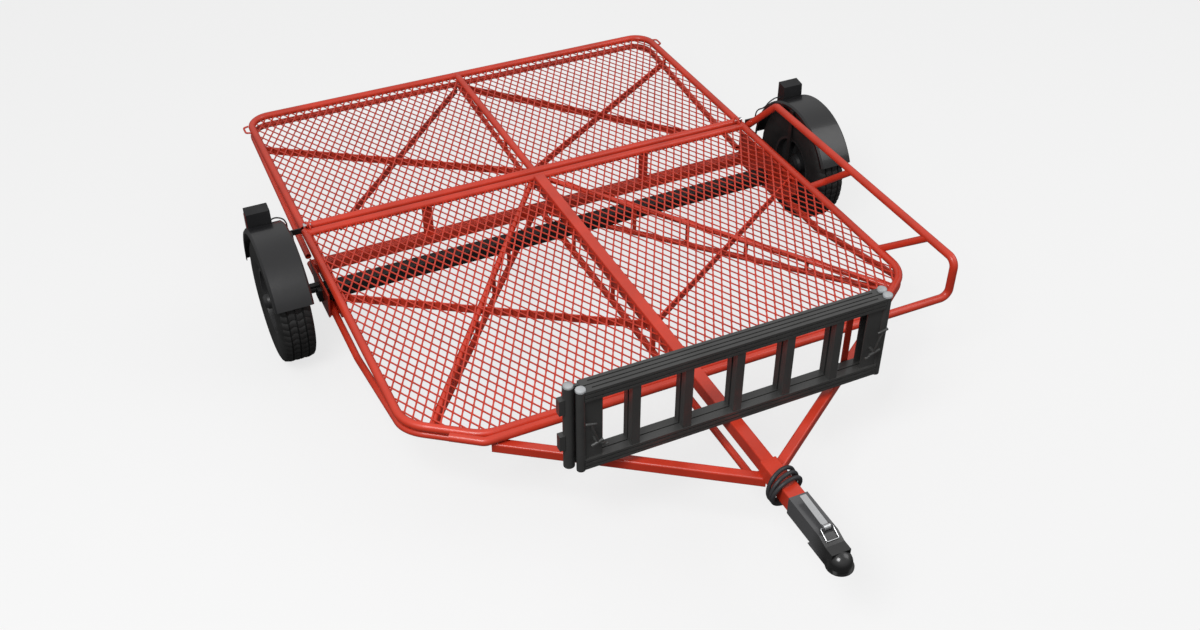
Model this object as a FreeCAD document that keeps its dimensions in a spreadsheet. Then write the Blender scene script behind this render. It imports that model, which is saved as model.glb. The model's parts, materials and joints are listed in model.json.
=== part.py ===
"""Light single-axle utility trailer with a folding rear deck, ball coupler and stowed loading ramps.

Model frame: +Z up, +Y towards the rear, origin on the ground at the centre of the outline.
Every piece is drawn in the deck frame (x across, y from the fold line, z from the centre of the
deck rails) and its Placement lifts it into the model frame.
"""
import FreeCAD, Part
import math
import os
from FreeCAD import Placement, Rotation, Vector

DIMENSIONS = {
    # overall layout
    "deck_half_width": 840, "deck_rear": 812, "deck_front": 1178, "deck_height": 293,
    "origin_shift": 585.2, "corner_start": 1040, "corner_end": 650, "bar_offset": 20.5,
    # tube stock
    "rail_od": 26, "rail_wall": 2, "lower_od": 22, "truss_od": 20, "strut_od": 14, "rail_bend": 75,
    "front_bend": 120,
    "lower_bend": 70, "lower_depth": 130.5, "lower_end_depth": 28, "rear_lower_depth": 38,
    # spine and tongue
    "spine_width": 38, "spine_height": 46, "spine_top": 15, "beam_size": 38, "beam_wall": 3,
    "sleeve_width": 50, "sleeve_height": 52, "sleeve_start": 1602, "tongue_end": 1800,
    "leg_width": 30, "leg_height": 33, "leg_depth": 43, "stay_width": 20, "leg_meet": 1612, "post_width": 36,
    "chord_depth": 133, "chord_rise": 20, "cross_depth": 139,
    # flats, mesh and plates
    "flat_thickness": 5, "flat_height": 28, "mesh_thickness": 2, "plate_thickness": 6,
    # wheels, axle and fenders
    "wheel_x": 982, "wheel_y": 218, "wheel_drop": 84, "tyre_radius": 209, "tyre_width": 108,
    "rim_radius": 108, "rim_width": 88, "axle_size": 48, "axle_half": 872, "axle_y": 227, "axle_drop": 95,
    "spindle_radius": 12.5, "fender_radius": 243, "fender_width": 122, "fender_skin": 2.5,
    # coupler
    "coupler_start": 1752, "coupler_width": 57, "coupler_wall": 3,
    "ball_radius": 25.4, "socket_y": 1958,
    # guard rail
    "guard_x": 894, "guard_height": 138, "bar_y": 1203.6,
    # ramps
    "ramp_half": 480, "ramp_bottom": 15.4, "ramp_height": 274, "ramp_front": 1432, "ramp_depth": 25,
    "ramp_rail": 34, "rung_width": 25, "ramp_pitch": 28.5,
    # tail lights
    "light_x": 993, "light_width": 76, "light_height": 94, "light_depth": 46,
    # fold hinge
    "hinge_height": 18, "hinge_pin": 5, "lug_thickness": 5,
    # cable
    "cable_radius": 6, "coil_radius": 44, "wire_radius": 2.5,
}

doc = FreeCAD.newDocument("utility_trailer")
sheet = doc.addObject("Spreadsheet::Sheet", "dims")
for row, (alias, value) in enumerate(DIMENSIONS.items(), start=1):
    sheet.set(f"A{row}", alias)
    sheet.set(f"B{row}", str(value))
    sheet.setAlias(f"B{row}", alias)
doc.recompute()

X, Z = Vector(1, 0, 0), Vector(0, 0, 1)
SIDES = {"left": -1, "right": 1}
nodes = []
cord_report = []


def dim(alias):
    """Value of one driving dimension, in millimetres."""
    return float(sheet.get(alias))


def bind(obj, **expressions):
    """Tie properties of an object to expressions of the sheet's cells."""
    for prop, text in expressions.items():
        for alias in sorted(DIMENSIONS, key=len, reverse=True):
            text = replace_word(text, alias)
        obj.setExpression(prop, text)


def replace_word(text, alias):
    """Write one bare alias as a reference to the sheet."""
    words = text.split(" ")
    return " ".join("dims." + word if word == alias else word for word in words)


def node(obj, label):
    """Register a finished sub-part and lift it into the model frame."""
    obj.Label = label
    lift = Placement(Vector(0, dim("origin_shift"), dim("deck_height")), Rotation())
    obj.Placement = lift.multiply(obj.Placement)
    nodes.append(obj)
    return obj


def feature(name, shape):
    """Plain shape feature, for paths, profiles and pieces that primitives do not fit."""
    obj = doc.addObject("Part::Feature", name)
    obj.Shape = shape
    return obj


def along(start, end, up=Z):
    """Placement whose local Z runs from start to end and whose local Y leans towards up."""
    direction = (end - start).normalize()
    side = up.cross(direction)
    if side.Length < 1e-6:
        side = X
    side.normalize()
    return Placement(start, Rotation(side, direction.cross(side), direction, "ZXY"))


def fuse(name, parts):
    obj = doc.addObject("Part::MultiFuse", name)
    obj.Shapes = parts
    return obj


def cut(name, base, tool):
    obj = doc.addObject("Part::Cut", name)
    obj.Base = base
    obj.Tool = tool
    return obj


def group(name, parts):
    """Several separate solids kept as one object."""
    obj = doc.addObject("Part::Compound", name)
    obj.Links = parts
    return obj


def box(name, corner, **sizes):
    obj = doc.addObject("Part::Box", name)
    bind(obj, **sizes)
    obj.Placement.Base = corner
    return obj


def cylinder(name, start, end, radius):
    obj = doc.addObject("Part::Cylinder", name)
    bind(obj, Radius=radius)
    obj.Height = (end - start).Length
    obj.Placement = along(start, end)
    return obj


def wire_path(points, bend, largest=False):
    """Straight runs joined by tangent arcs, and the arcs' radii."""
    corners = [Vector(*p) for p in points]
    edges = []
    radii = []
    last = corners[0]
    for before, here, after in zip(corners, corners[1:], corners[2:]):
        back = before - here
        ahead = after - here
        half_turn = (math.pi - back.getAngle(ahead)) / 2
        run = min(back.Length, ahead.Length)
        radius = 0.45 * run / math.tan(half_turn) if largest else bend
        reach = radius * math.tan(half_turn)
        back.normalize()
        ahead.normalize()
        enter = here + back * reach
        leave = here + ahead * reach
        bisector = (back + ahead).normalize()
        middle = here + bisector * (radius / math.cos(half_turn) - radius)
        edges.append(Part.LineSegment(last, enter).toShape())
        edges.append(Part.Arc(enter, middle, leave).toShape())
        radii.append(radius)
        last = leave
    edges.append(Part.LineSegment(last, corners[-1]).toShape())
    return Part.Wire(edges), radii


def sweep(name, path, radius):
    """Solid round bar along a path."""
    edges = path.Shape.Edges
    ring = doc.addObject("Part::Circle", name + "_ring")
    bind(ring, Radius=radius)
    tangent = edges[0].tangentAt(edges[0].FirstParameter)
    ring.Placement = Placement(edges[0].firstVertex().Point, Rotation(Z, tangent))
    bar = doc.addObject("Part::Sweep", name)
    bar.Sections = [ring]
    bar.Spine = (path, [f"Edge{i + 1}" for i in range(len(edges))])
    bar.Solid = True
    bar.Frenet = False
    return bar


def bent_bar(name, points, bend, radius):
    path = feature(name + "_path", wire_path(points, bend)[0])
    return sweep(name, path, radius)


def bent_tube(name, points, bend, diameter="rail_od"):
    """Hollow bent tube, with its outer envelope kept as a cutter for its neighbours."""
    outer = bent_bar(name + "_outer", points, bend, f"{diameter} / 2")
    inner = bent_bar(name + "_inner", points, bend, f"{diameter} / 2 - rail_wall")
    return cut(name, outer, inner), outer


def straight_tube(name, start, end, diameter="rail_od"):
    outer = cylinder(name + "_outer", Vector(*start), Vector(*end), f"{diameter} / 2")
    inner = cylinder(name + "_inner", Vector(*start), Vector(*end), f"{diameter} / 2 - rail_wall")
    return cut(name, outer, inner), outer


def coped(name, tube, cutters):
    """Cut a tube's ends to the surfaces of the members it is welded to."""
    for number, cutter in enumerate(cutters):
        tube = cut(f"{name}_cope{number}", tube, cutter)
    return tube


def rect_bar(name, start, end, width, height):
    """Rectangular bar about the line from start to end, its height leaning towards up."""
    start, end = Vector(*start), Vector(*end)
    bar = doc.addObject("Part::Box", name)
    bind(bar, Length=width, Width=height)
    bar.Height = (end - start).Length
    doc.recompute()
    centre = Vector(-bar.Length.Value / 2, -bar.Width.Value / 2, 0)
    bar.Placement = along(start, end).multiply(Placement(centre, Rotation()))
    return bar


def rounded(name, base, radius):
    """Round the four long edges of a rectangular bar."""
    doc.recompute()
    length = max(edge.Length for edge in base.Shape.Edges)
    chosen = [i + 1 for i, edge in enumerate(base.Shape.Edges) if abs(edge.Length - length) < 1e-6]
    obj = doc.addObject("Part::Fillet", name)
    obj.Base = base
    obj.Edges = [(i, radius, radius) for i in chosen]
    return obj


def rect_tube(name, start, end, width, height, corner=4.0):
    """Hollow rectangular tube with rounded corners."""
    outer = rounded(name + "_outer", rect_bar(name + "_bar", start, end, width, height), corner)
    inner = rect_bar(name + "_bore", start, end, f"{width} - 2 * beam_wall", f"{height} - 2 * beam_wall")
    return cut(name, outer, inner), outer


def plate(name, points, direction, thickness):
    """Flat plate from an outline, grown along a direction."""
    outline = doc.addObject("Part::Polygon", name + "_outline")
    outline.Nodes = [Vector(*p) for p in points]
    outline.Close = True
    body = doc.addObject("Part::Extrusion", name)
    body.Base = outline
    body.DirMode = "Custom"
    body.Dir = direction
    body.Solid = True
    bind(body, LengthFwd=thickness)
    return body


def revolve(name, profile, base, axis):
    """Turn a closed profile about an axis."""
    body = doc.addObject("Part::Revolution", name)
    body.Source = feature(name + "_profile", profile)
    body.Base = base
    body.Axis = axis
    body.Angle = 360
    body.Solid = True
    return body


def closed(points):
    return Part.makePolygon([Vector(*p) for p in points] + [Vector(*points[0])])


# ---------------------------------------------------------------- deck frame

HALF = dim("deck_half_width")
RAIL_R = dim("rail_od") / 2
LOWER_R = dim("lower_od") / 2
FOLD = dim("bar_offset")
EDGE = FOLD - RAIL_R
FRONT = -dim("deck_front")
REAR = dim("deck_rear")
BEAM_MID = dim("spine_top") - dim("spine_height") / 2


def mirror_run(points):
    """A run of points on the left side followed by its mirror image on the right."""
    return points + [(-x, y, z) for x, y, z in reversed(points)]


def front_frame():
    """Front section: upper loop, lower loop and the cross bar at the fold."""
    corner = [(-HALF, -EDGE, 0), (-HALF, -dim("corner_start"), 0), (-dim("corner_end"), FRONT, 0)]
    upper, upper_solid = bent_tube("front_upper_rail", mirror_run(corner), dim("front_bend"))
    node(upper, "front_upper_rail")
    low, end = -dim("lower_depth"), -dim("lower_end_depth")
    lower_run = [(-HALF, -EDGE, low), (-HALF, -560, low), (-HALF, -dim("corner_start"), end),
                 (-dim("corner_end"), FRONT, end)]
    lower, lower_solid = bent_tube("front_lower_rail", mirror_run(lower_run), dim("front_bend") - 10, "lower_od")
    node(lower, "front_lower_rail")
    bar, bar_solid = straight_tube("front_cross", (-HALF, -FOLD, 0), (HALF, -FOLD, 0))
    node(coped("front_cross", bar, [upper_solid]), "front_fold_bar")
    return upper_solid, lower_solid, bar_solid


def cross_chord(lower_solid):
    """Square chord under the fold line with its two posts."""
    depth = -dim("cross_depth")
    chord, chord_solid = rect_tube("chord_tube", (-HALF, -FOLD, depth), (HALF, -FOLD, depth),
                                   "beam_size", "beam_size")
    chord = coped("chord_tube", chord, [lower_solid])
    posts = []
    for side, place in (("left", -417), ("right", 420)):
        foot = Vector(place - dim("post_width") / 2, -FOLD - dim("plate_thickness") / 2, depth + dim("beam_size") / 2)
        post = box(f"{side}_post", foot, Length="post_width", Width="plate_thickness")
        post.Height = -RAIL_R - foot.z
        posts.append(post)
    node(fuse("cross_chord", [chord] + posts), "cross_chord")
    return chord_solid


def spine_and_tongue():
    """Box spine that runs on as the tongue, the sleeve round its nose and its bottom chord."""
    spine, outer = rect_tube("spine_tube", (0, -EDGE - 2 * RAIL_R, BEAM_MID), (0, -dim("tongue_end"), BEAM_MID),
                             "spine_width", "spine_height")
    loops = [doc.getObject("front_upper_rail_outer"), doc.getObject("front_lower_rail_outer")]
    node(coped("spine", spine, loops), "main_spine")
    nose = (0, -dim("tongue_end"), BEAM_MID)
    start = (0, -dim("sleeve_start"), BEAM_MID)
    sleeve = rounded("sleeve_outer", rect_bar("sleeve_bar", start, nose, "sleeve_width", "sleeve_height"), 4.0)
    node(cut("sleeve", sleeve, outer), "tongue_sleeve")
    deep = -dim("chord_depth")
    back, front = -FOLD - dim("beam_size") / 2 - 0.4, -1530
    run = [(0, back, deep), (0, front, deep + dim("chord_rise")),
           (0, -1606, BEAM_MID - dim("spine_height") / 2 - 6)]
    chord = bent_tube("chord_run", run, 40, "lower_od")[0]
    struts = []
    for number, y in enumerate((-330, -640, -930, -1300)):
        level = deep + dim("chord_rise") * (y - back) / (front - back)
        struts.append(cylinder(f"chord_strut{number}", Vector(0, y, level + LOWER_R - 1),
                               Vector(0, y, BEAM_MID - dim("spine_height") / 2 - 0.1), "strut_od / 2"))
    solid = fuse("chord_members", [chord] + struts)
    node(coped("chord_fit", solid, [outer, sleeve]), "spine_chord")


def tongue_legs(lower_solid):
    """Two legs of the A-frame, from the front corners to the sides of the tongue."""
    legs = []
    level = -dim("lower_end_depth") - 6
    slope = (dim("leg_meet") - 1190) / (632 - dim("spine_width") / 2)
    for side, sign in SIDES.items():
        start = (sign * 632, -1190, level)
        end = (sign * 10, -dim("leg_meet") - slope * 9, -dim("leg_depth"))
        leg = rect_tube(f"{side}_leg", start, end, "leg_width", "leg_height", 6.0)[0]
        blocks = [doc.getObject(name) for name in ("sleeve_outer", "spine_tube_outer", "chord_run_outer")]
        blocks.append(lower_solid)
        legs.append(coped(f"{side}_tongue_leg", leg, blocks))
    node(group("tongue_legs", legs), "tongue_legs")


def corner_truss(side, sign, solids):
    """Diagonal lattice from the middle of the fold bar to a front corner."""
    level = -dim("mesh_thickness") / 2 - dim("truss_od") / 2 - 0.2
    inner = Vector(sign * 36, -EDGE - 2 * RAIL_R - 6, level)
    outer = Vector(sign * 776, -1084, level)
    low_inner = Vector(inner.x, inner.y, -154)
    low_outer = Vector(outer.x, outer.y, -dim("lower_end_depth"))
    top = cylinder(f"{side}_truss_top", inner, outer, "truss_od / 2")
    bottom = cylinder(f"{side}_truss_bottom", low_inner, low_outer, "truss_od / 2")
    members = [top, bottom]
    for number, share in enumerate((0.27, 0.43, 0.6, 0.77)):
        head = inner + (outer - inner) * share
        foot = low_inner + (low_outer - low_inner) * share
        members.append(cylinder(f"{side}_truss_strut{number}", foot, head, "strut_od / 2"))
    node(coped(f"{side}_truss", fuse(f"{side}_truss_bars", members), solids), f"{side}_corner_truss")


def flat_brace(name, start, end, top):
    """Flat bar on edge between two points of the plan."""
    lean = dim("flat_height") / 2
    return rect_bar(name, (start[0], start[1], top - lean), (end[0], end[1], top - lean),
                    "flat_thickness", "flat_height")


def front_braces():
    """Flat bars from the side rails to the spine, one each side."""
    braces = []
    for side, sign in SIDES.items():
        start = (sign * (HALF - RAIL_R - 2 - dim("plate_thickness") - 2), -395)
        end = (sign * dim("spine_width") / 2, -915)
        bar = flat_brace(f"{side}_front_brace", start, end, -dim("mesh_thickness"))
        solids = [doc.getObject("spine_tube_outer"), doc.getObject(f"{side}_truss_top")]
        braces.append(coped(f"{side}_front_flat", bar, solids))
    node(group("front_braces", braces), "front_braces")


def mesh_panel(label, outline, solids):
    """Expanded-metal deck panel, kept as a thin plate trimmed to the members round it."""
    half = dim("mesh_thickness") / 2
    points = [(x, y, -half) for x, y in outline]
    sheet_metal = plate(label + "_sheet", points, Z, "mesh_thickness")
    node(coped(label + "_trim", sheet_metal, [doc.getObject(name) for name in solids]), label)


def mesh_panels():
    for side, sign in SIDES.items():
        front = [(0, -FOLD), (sign * HALF, -FOLD), (sign * HALF, -dim("corner_start") + 36),
                 (sign * (HALF - 29), -dim("corner_start") - 21), (sign * dim("corner_end"), FRONT), (0, FRONT)]
        mesh_panel(f"{side}_front_mesh", front, ("front_upper_rail_outer", "front_cross_outer", "spine_tube_outer"))
        rear = [(0, FOLD), (sign * HALF, FOLD), (sign * HALF, REAR - 44), (sign * (HALF - 44), REAR), (0, REAR)]
        mesh_panel(f"{side}_rear_mesh", rear, ("rear_upper_rail_outer", "rear_cross_outer", "centre_top"))


def rear_frame():
    """Folding rear section: upper loop, lower loop, fold bar, centre lattice and braces."""
    corner = [(-HALF, EDGE, 0), (-HALF, REAR, 0)]
    upper, upper_solid = bent_tube("rear_upper_rail", mirror_run(corner), dim("rail_bend"))
    node(upper, "rear_upper_rail")
    low = [(-HALF, EDGE, -dim("rear_lower_depth") - 74), (-HALF, REAR, -dim("rear_lower_depth"))]
    lower = bent_tube("rear_lower_rail", mirror_run(low), dim("lower_bend"), "lower_od")[0]
    node(lower, "rear_lower_rail")
    bar, bar_solid = straight_tube("rear_cross", (-HALF, FOLD, 0), (HALF, FOLD, 0))
    node(coped("rear_cross", bar, [upper_solid]), "rear_fold_bar")
    centre = cylinder("centre_top", Vector(0, FOLD, 0), Vector(0, REAR, 0), "rail_od / 2")
    foot = cylinder("centre_bottom", Vector(0, FOLD, -70), Vector(0, REAR, -dim("rear_lower_depth")),
                    "lower_od / 2 - 2")
    struts = [cylinder(f"centre_strut{i}", Vector(0, y, -66 + 0.04 * y), Vector(0, y, 0), "strut_od / 2")
              for i, y in enumerate((FOLD + 12, 290, 560))]
    beam = fuse("centre_members", [centre, foot] + struts)
    lower_solid = doc.getObject("rear_lower_rail_outer")
    node(coped("rear_centre_beam", beam, [upper_solid, bar_solid, lower_solid]), "rear_centre_beam")
    braces = []
    for side, sign in SIDES.items():
        inner = sign * (RAIL_R + 1)
        outer = HALF - RAIL_R
        gap = EDGE + 2 * RAIL_R
        runs = [((sign * outer, 590), (inner, gap + 14)), ((inner, REAR - 30), (sign * 712, gap))]
        for number, (start, end) in enumerate(runs):
            top = -dim("mesh_thickness") - number * (dim("flat_height") + 0.5)
            bar = flat_brace(f"{side}_rear_brace{number}", start, end, top)
            braces.append(coped(f"{side}_rear_flat{number}", bar, [upper_solid, bar_solid, beam]))
    node(group("rear_braces", braces), "rear_braces")


def corner_loops():
    """Tie-down loops bent from round bar on the outer faces of the rear corners."""
    loops = []
    for side, sign in SIDES.items():
        out = sign * (HALF + 30)
        face = sign * (HALF + RAIL_R - 1.5)
        points = [(face, 762, 0), (out, 756, 0), (out, 716, 0), (face, 710, 0)]
        loops.append(bent_bar(f"{side}_corner_loop", points, 9, "strut_od / 4"))
    node(cut("loops", group("loop_pair", loops), doc.getObject("rear_upper_rail_outer")), "corner_loops")


def fold_hinge():
    """Fold hinge at each end of the fold line: fixed lug, moving lug and pin."""
    height = dim("hinge_height")
    fixed, moving, pins = [], [], []
    thick = dim("lug_thickness")
    for side, sign in SIDES.items():
        for kind, store, y_side, x_near in (("fixed", fixed, -1, HALF - 20), ("moving", moving, 1, HALF - 14)):
            near = sign * x_near if sign > 0 else sign * x_near - thick
            reach = y_side * (FOLD + 2)
            outline = [(near, reach, RAIL_R - 3), (near, reach, RAIL_R + 6), (near, y_side * 10, height + 8),
                       (near, -y_side * 7, height + 8), (near, -y_side * 9, height - 1),
                       (near, -y_side * 5, height - 9), (near, y_side * 8, RAIL_R - 3)]
            ear = plate(f"{side}_{kind}_ear", outline, X, "lug_thickness")
            hole = cylinder(f"{side}_{kind}_hole", Vector(near - 5, 0, height),
                            Vector(near + thick + 5, 0, height), "hinge_pin + 0.05")
            store.append(cut(f"{side}_{kind}_lug", ear, hole))
        inner = sign * (HALF - 24)
        outer = sign * (HALF - 4)
        shank = cylinder(f"{side}_hinge_shank", Vector(inner, 0, height), Vector(outer, 0, height), "hinge_pin")
        head = cylinder(f"{side}_hinge_head", Vector(outer, 0, height), Vector(outer + sign * 6, 0, height),
                        "hinge_pin * 1.8")
        pins.append(fuse(f"{side}_hinge_pin", [shank, head]))
    rear_bar = doc.getObject("rear_cross_outer")
    front_bar = doc.getObject("front_cross_outer")
    node(cut("fixed_lugs", group("fixed_lug_pair", fixed), front_bar), "fixed_hinge_lugs")
    node(cut("moving_lugs", group("moving_lug_pair", moving), rear_bar), "moving_hinge_lugs")
    node(group("hinge_pins", pins), "hinge_pins")


# ---------------------------------------------------------------- guard rail

def guard_rail(upper_solid):
    """Front bar that runs on into the side guard of the right side, with its two braces."""
    x, y, top = dim("guard_x"), -dim("bar_y"), dim("guard_height")
    points = [(-740, y + 59.4, 0), (-658.3, y, 0), (x, y, 0), (x, y, top), (x, -150, top),
              (HALF + 22, -EDGE - RAIL_R, 0)]
    main, main_solid = bent_tube("guard_tube", points, 30)
    braces = []
    for number, run in enumerate(([(HALF + 6, -900, 0), (x, -1070, top)],
                                  [(HALF + 6, -485, 0), (HALF + 42, -524, 36), (x, -640, top)])):
        braces.append(bent_bar(f"guard_brace{number}", run, 50, "rail_od / 2 - 1"))
    bore = doc.getObject("guard_tube_inner")
    braces = [coped(f"guard_brace{i}_end", bar, [bore]) for i, bar in enumerate(braces)]
    solids = [upper_solid, doc.getObject("spine_tube_outer")]
    node(coped("front_bar", fuse("guard_members", [main] + braces), solids), "side_guard_rail")
    return main_solid


# ---------------------------------------------------------------- running gear

def axle():
    """Square axle beam with its turned spindles, and the plates that carry it."""
    y, z = -dim("axle_y"), -dim("axle_drop")
    reach = dim("axle_half")
    beam = rounded("beam_rounded", rect_bar("beam_bar", (-reach, y, z), (reach, y, z), "axle_size", "axle_size"),
                   5.0)
    y, z = -dim("wheel_y"), -dim("wheel_drop")
    spindles = [cylinder(f"{side}_spindle", Vector(sign * (reach - 20), y, z),
                         Vector(sign * (dim("wheel_x") + 40), y, z), "spindle_radius")
                for side, sign in SIDES.items()]
    node(fuse("axle_beam", [beam] + spindles), "axle_beam")


def axle_hanger(side, sign, solids):
    """Plate between the upper and lower rails that holds the axle, with its bracket box outside."""
    thick = dim("plate_thickness")
    inner = sign * (HALF - RAIL_R - 2) - (thick if sign > 0 else 0)
    outline = [(inner, -34, -4), (inner, -415, -4), (inner, -430, -60), (inner, -330, -140),
               (inner, -60, -140), (inner, -34, -120)]
    web = plate(f"{side}_hanger_web", outline, X, "plate_thickness")
    outer = sign * (HALF + RAIL_R) - (thick if sign < 0 else 0)
    cheek_line = [(outer, -110, -40), (outer, -330, -40), (outer, -300, -150), (outer, -150, -150)]
    cheek = plate(f"{side}_hanger_cheek", cheek_line, X, "plate_thickness")
    low_x = min(inner, outer)
    shelf = box(f"{side}_hanger_shelf", Vector(low_x, -300, -dim("cross_depth") - 6.5),
                Height="plate_thickness")
    shelf.Length = abs(inner - outer) + thick
    shelf.Width = 150
    y, z = -dim("axle_y"), -dim("axle_drop")
    slot = rect_bar(f"{side}_axle_slot", (sign * 700, y, z), (sign * 900, y, z), "axle_size", "axle_size")
    hanger = coped(f"{side}_hanger", fuse(f"{side}_hanger_plates", [web, cheek, shelf]), [slot] + solids)
    node(hanger, f"{side}_axle_hanger")


def tyre_profile(x, y):
    """Half-section of a tyre in the plane of the axle line, closed by its bead."""
    half, r_out = dim("tyre_width") / 2, dim("tyre_radius")
    r_bead, bead = dim("rim_radius") - 4, dim("rim_width") / 2 - 0.1

    def at(dx, r):
        return Vector(x + dx, y, r)

    crown, shoulder = r_out - 3, r_out - 22
    edges = [Part.Arc(at(-half + 8, crown - 3), at(0, r_out), at(half - 8, crown - 3)).toShape(),
             Part.Arc(at(half - 8, crown - 3), at(half - 1, shoulder + 6), at(half, shoulder - 20)).toShape(),
             Part.Arc(at(half, shoulder - 20), at(half - 3, r_bead + 31), at(bead, r_bead + 11)).toShape(),
             Part.LineSegment(at(bead, r_bead + 11), at(bead, r_bead)).toShape(),
             Part.LineSegment(at(bead, r_bead), at(bead - 9, r_bead)).toShape(),
             Part.Arc(at(bead - 9, r_bead), at(0, shoulder - 4), at(-bead + 9, r_bead)).toShape(),
             Part.LineSegment(at(-bead + 9, r_bead), at(-bead, r_bead)).toShape(),
             Part.LineSegment(at(-bead, r_bead), at(-bead, r_bead + 11)).toShape(),
             Part.Arc(at(-bead, r_bead + 11), at(-half + 3, r_bead + 31), at(-half, shoulder - 20)).toShape(),
             Part.Arc(at(-half, shoulder - 20), at(-half + 1, shoulder + 6), at(-half + 8, crown - 3)).toShape()]
    return Part.Wire(edges)


def rim_profile(x, y, sign):
    """Half-section of a pressed rim: flanges, well and the disc towards the hub."""
    half, radius = dim("rim_width") / 2, dim("rim_radius")
    skin = 3
    outer = [(half + 3, radius + 6), (half, radius + 6), (half, radius - 4.2), (half - 22, radius - 6),
             (half - 28, radius - 24), (-half + 30, radius - 24), (-half + 22, radius - 6),
             (-half, radius - 4.2), (-half, radius + 6), (-half - 3, radius + 6)]
    inner = [(-half - 2, radius - 8), (-half + 22, radius - 10), (-half + 28, radius - 24 - skin),
             (half - 31, radius - 24 - skin), (half - 36, 70), (half - 30, 58), (half - 30, 32),
             (half - 30 + skin, 32), (half - 30 + skin, 59), (half - 33, 71), (half - 26, radius - 24 - skin),
             (half - 20, radius - 10), (half + 2, radius - 8)]
    return closed([(x + sign * dx, y, r) for dx, r in outer + inner])


def wheel(side, sign):
    """Tyre, rim, hub, cap and lug nuts of one wheel, all turning about the spindle."""
    x, y = sign * dim("wheel_x"), -dim("wheel_y")
    lift = Placement(Vector(0, 0, -dim("wheel_drop")), Rotation())
    centre = Vector(x, y, 0)
    half = dim("rim_width") / 2
    disc = half - 30 + 3

    tyre = revolve(f"{side}_tyre_body", tyre_profile(x, y), centre, X)
    rim = revolve(f"{side}_rim_body", rim_profile(x, y, sign), centre, X)
    bore = dim("spindle_radius") + 0.05
    hub_line = [(-46, bore), (-46, 30), (-34, 32), (-24, 36), (disc - 9, 36), (disc - 9, 52), (disc - 3, 52),
                (disc - 3, 31), (disc + 12, 29), (disc + 12, bore)]
    hub = revolve(f"{side}_hub_body", closed([(x + sign * dx, y, r) for dx, r in hub_line]), centre, X)
    cap_line = [(disc + 12.2, 28), (disc + 16, 28), (disc + 34, 25), (disc + 44, 17), (disc + 47, 0.0),
                (disc + 42, 0.0), (disc + 40, 14), (disc + 32, 22), (disc + 12.2, 24)]
    cap = revolve(f"{side}_cap_body", closed([(x + sign * dx, y, r) for dx, r in cap_line]), centre, X)
    nuts = []
    for number in range(4):
        turn = math.radians(45 + 90 * number)
        spot = Vector(x + sign * (disc + 0.2), y + 42 * math.cos(turn), 42 * math.sin(turn))
        nut = doc.addObject("Part::Prism", f"{side}_nut{number}")
        nut.Polygon = 6
        nut.Circumradius = 9
        nut.Height = 11
        nut.Placement = along(spot, spot + X * sign)
        nuts.append(nut)
    for obj, label in ((tyre, "tyre"), (rim, "rim"), (hub, "hub"), (cap, "dust_cap"),
                       (group(f"{side}_nuts", nuts), "lug_nuts")):
        obj.Placement = lift
        node(obj, f"{side}_{label}")


def fender(side, sign):
    """Arched fender over one wheel with turned-down lips along both edges."""
    x, y, z = sign * dim("wheel_x"), -dim("wheel_y"), -dim("wheel_drop")
    half, radius, skin = dim("fender_width") / 2, dim("fender_radius"), dim("fender_skin")
    lip = 16
    inner = radius - skin
    section = [(-half, radius - lip), (-half, radius - 6), (-half + 6, radius), (half - 6, radius),
               (half, radius - 6), (half, radius - lip), (half - skin, radius - lip), (half - skin, inner - 5),
               (half - 6, inner), (-half + 6, inner), (-half + skin, inner - 5), (-half + skin, radius - lip)]
    profile = feature(f"{side}_fender_profile", closed([(x + dx, y, z + r) for dx, r in section]))
    arch = doc.addObject("Part::Revolution", f"{side}_fender_arch")
    arch.Source = profile
    arch.Base = Vector(x, y, z)
    arch.Axis = X
    arch.Angle = 150
    arch.Solid = True
    turn = Rotation(X, -86)
    centre = Vector(x, y, z)
    arch.Placement = Placement(centre - turn.multVec(centre), turn)
    node(arch, f"{side}_fender")


def fender_stays(guard_solid):
    """Arms that hold each fender: a rear arm from the frame and a post from the axle beam."""
    stays = []
    face = dim("wheel_x") - dim("fender_width") / 2 - 0.1
    for side, sign in SIDES.items():
        arm = rect_bar(f"{side}_stay_arm", (sign * (HALF + RAIL_R), -12, 10), (sign * face, -12, 10),
                       "flat_thickness", "stay_width")
        post_x = sign * (face - dim("flat_thickness") / 2)
        y, foot = -dim("wheel_y"), -dim("axle_drop") + dim("axle_size") / 2
        post = rect_bar(f"{side}_stay_post", (post_x, y, foot), (post_x, y, 148), "flat_thickness", "stay_width")
        cheek = HALF + RAIL_R + dim("plate_thickness")
        shelf = box(f"{side}_stay_foot", Vector(min(sign * cheek, sign * (face - 2)), y - 10, foot),
                    Width="stay_width", Height="flat_thickness")
        shelf.Length = face - 2 - cheek
        stays += [arm, fuse(f"{side}_stay_bracket", [post, shelf])]
    node(cut("stays", group("stay_set", stays), guard_solid), "fender_stays")


# ---------------------------------------------------------------- lights

def light_frame(sign):
    """Base corner of a tail light on top of its fender."""
    return Vector(sign * dim("light_x") - dim("light_width") / 2, -106, 86)


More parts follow.
